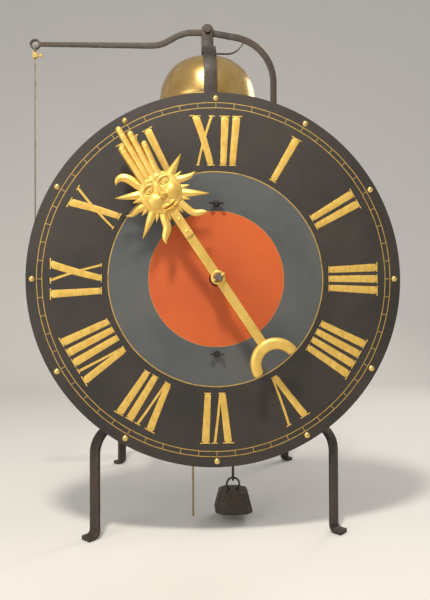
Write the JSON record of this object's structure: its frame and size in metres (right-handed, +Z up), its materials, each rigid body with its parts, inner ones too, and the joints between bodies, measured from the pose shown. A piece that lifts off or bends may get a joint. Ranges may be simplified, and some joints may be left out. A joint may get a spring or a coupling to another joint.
{
  "type": "tower clock",
  "caption": "Free-standing tower clock: round dark dial, gilt sun-and-moon hour hand, bell with wire-pulled hammer above, open iron cage of wheels on bent strap legs, rope and counterweight.",
  "frame": {"origin": "on the floor, midway between the four feet", "axes": "+X right as seen from the dial side, +Y away from the viewer, +Z up"},
  "size_m": [1.323, 1.1337, 1.9185],
  "materials": {
    "iron": "forged iron, dark brown-black, slightly rough",
    "wheel_iron": "filed iron, oiled",
    "gilt": "gilded metal, satin",
    "dial_paint": "matt oil paint on sheet iron",
    "brass": "polished brass",
    "bell_bronze": "polished bell bronze with patina",
    "rope": "laid hemp",
    "wire_steel": "drawn iron wire"
  },
  "bodies": {
    "frame": {"leg_front_left": "iron", "leg_front_right": "iron", "leg_rear_left": "iron", "leg_rear_right": "iron", "top_side_rail_left": "iron", "top_side_rail_right": "iron", "top_cross_rail_front": "iron", "top_cross_rail_middle": "iron", "top_cross_rail_rear": "iron", "bottom_side_rail_left": "iron", "bottom_side_rail_right": "iron", "bottom_cross_rail_front": "iron", "bottom_cross_rail_middle": "iron", "bottom_cross_rail_rear": "iron", "front_bar": "iron", "middle_bar": "iron", "rear_bar": "iron", "frame_bolts": "iron", "dial_pillar_upper": "iron", "dial_pillar_lower": "iron", "escapement_cocks": "iron", "strike_bracket": "iron", "bell_bolt": "iron", "bell_strap_front": "iron", "bell_strap_rear": "iron", "hammer_pivot": "iron", "check_spring": "iron", "dial_plate": "dial_paint", "dial_rivets": "brass", "bell": "bell_bronze", "drive_rope": "rope", "weight_rope": "rope"},
    "hand": {"hour_wheel": "wheel_iron", "hand_bar": "gilt", "hand_pin": "gilt", "hand_rivets": "gilt", "sun_face": "gilt", "pointing_hand": "gilt", "crescent_moon": "gilt"},
    "upper_screw": {"wing_screw_upper": "iron"},
    "lower_screw": {"wing_screw_lower": "iron"},
    "great": {"going_great_wheel": "wheel_iron"},
    "second": {"second_wheel": "wheel_iron"},
    "crown": {"crown_wheel": "wheel_iron"},
    "foliot": {"verge": "wheel_iron", "foliot_bar": "iron", "foliot_weight_left": "iron", "foliot_weight_right": "iron"},
    "rope_pulley": {"rope_wheel": "wheel_iron"},
    "weight": {"counterweight": "iron", "weight_hook": "iron"},
    "strike_great": {"strike_great_wheel": "wheel_iron"},
    "strike_second": {"strike_second_wheel": "wheel_iron"},
    "fly": {"fly": "wheel_iron"},
    "count": {"count_wheel": "wheel_iron"},
    "hammer": {"hammer_lever": "iron", "hammer_head": "iron"},
    "wire": {"pull_wire": "wire_steel", "wire_clamp": "brass"},
    "lever": {"strike_lever": "iron"}
  },
  "joints": [
    {"name": "great_turn", "type": "hinge", "parent": "frame", "child": "great", "pos_m": [0, 0, 0.672], "axis": [0, 1, 0], "continuous": true},
    {"name": "hand_turn", "type": "hinge", "parent": "frame", "child": "hand", "pos_m": [0, 0, 0.84], "axis": [0, 1, 0], "continuous": true},
    {"name": "second_turn", "type": "hinge", "parent": "frame", "child": "second", "pos_m": [0, 0, 0.882], "axis": [0, 1, 0], "continuous": true},
    {"name": "crown_turn", "type": "hinge", "parent": "frame", "child": "crown", "pos_m": [0, 0, 1.002], "axis": [0, 1, 0], "continuous": true},
    {"name": "foliot_swing", "type": "hinge", "parent": "frame", "child": "foliot", "pos_m": [0, -0.08, 1.1], "axis": [0, 0, 1], "range_deg": [-25, 25]},
    {"name": "weight_lift", "type": "slide", "parent": "frame", "child": "weight", "axis": [0, 0, 1], "range_m": [0, 0.2], "deforming": ["weight_rope"]},
    {"name": "rope_wheel_turn", "type": "hinge", "parent": "frame", "child": "rope_pulley", "pos_m": [0, -0.3, 0.672], "axis": [0, -1, 0], "range_deg": [0, 160.5]},
    {"name": "strike_turn", "type": "hinge", "parent": "frame", "child": "strike_great", "pos_m": [0, 0, 0.672], "axis": [0, 1, 0], "continuous": true},
    {"name": "strike_second_turn", "type": "hinge", "parent": "frame", "child": "strike_second", "pos_m": [0, 0, 0.882], "axis": [0, 1, 0], "continuous": true},
    {"name": "fly_turn", "type": "hinge", "parent": "frame", "child": "fly", "pos_m": [0, 0, 1.002], "axis": [0, 1, 0], "continuous": true},
    {"name": "count_turn", "type": "hinge", "parent": "frame", "child": "count", "pos_m": [0, 0.367, 0.8655], "axis": [0, 1, 0], "continuous": true},
    {"name": "hammer_lift", "type": "hinge", "parent": "frame", "child": "hammer", "pos_m": [0, 0.0115, 1.8935], "axis": [0, -1, 0], "range_deg": [0, 5]},
    {"name": "wire_swing", "type": "hinge", "parent": "hammer", "child": "wire", "pos_m": [-0.701, 0.0115, 1.8245], "axis": [0, -1, 0], "range_deg": [-5.3, 0]},
    {"name": "strike_lever_turn", "type": "hinge", "parent": "frame", "child": "lever", "pos_m": [-0.28605, 0.0115, 0.72], "axis": [0, -1, 0], "range_deg": [0, 8.6]},
    {"name": "upper_screw_turn", "type": "hinge", "parent": "frame", "child": "upper_screw", "pos_m": [0, -0.53, 1.08], "axis": [0, 1, 0], "continuous": true},
    {"name": "lower_screw_turn", "type": "hinge", "parent": "frame", "child": "lower_screw", "pos_m": [0, -0.53, 0.6], "axis": [0, 1, 0], "continuous": true}
  ],
  "couplings": [
    {"joint": "hand_turn", "follows": "great_turn", "ratio": -0.16667},
    {"joint": "second_turn", "follows": "great_turn", "ratio": -6},
    {"joint": "crown_turn", "follows": "great_turn", "ratio": 24},
    {"joint": "rope_wheel_turn", "follows": "weight_lift", "rad_per_m": 13.986},
    {"joint": "strike_second_turn", "follows": "strike_turn", "ratio": -6},
    {"joint": "fly_turn", "follows": "strike_turn", "ratio": 24},
    {"joint": "count_turn", "follows": "strike_turn", "ratio": -0.10256},
    {"joint": "wire_swing", "follows": "hammer_lift", "ratio": -1.0444},
    {"joint": "strike_lever_turn", "follows": "hammer_lift", "ratio": 1.6894}
  ]
}
